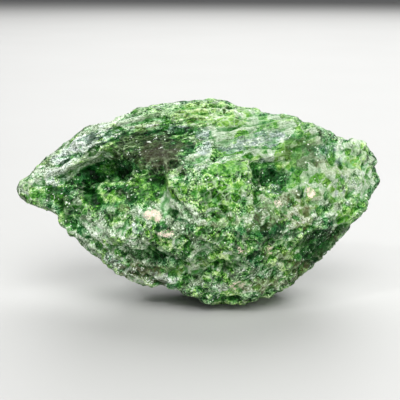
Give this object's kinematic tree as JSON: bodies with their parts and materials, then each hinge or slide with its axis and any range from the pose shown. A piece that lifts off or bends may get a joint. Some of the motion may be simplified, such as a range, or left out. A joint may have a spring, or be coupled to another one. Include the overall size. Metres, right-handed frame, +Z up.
{
  "type": "rough chrome diopside specimen",
  "caption": "Broken lump of rough chrome diopside with a layered upper face, hollows and grainy flanks, resting on a small flat spot.",
  "frame": {"origin": "in the flat spot that the stone rests on, below its middle", "axes": "+X along the stone towards its blunt end, +Z up from the resting spot, and the shown face towards -Y"},
  "size_m": [0.0908, 0.0436, 0.0492],
  "materials": {
    "chrome_diopside": "broken surface, glassy on fresh cleavages and dull on the grainy parts"
  },
  "bodies": {
    "root": {"chrome_diopside": "chrome_diopside"}
  },
  "joints": []
}
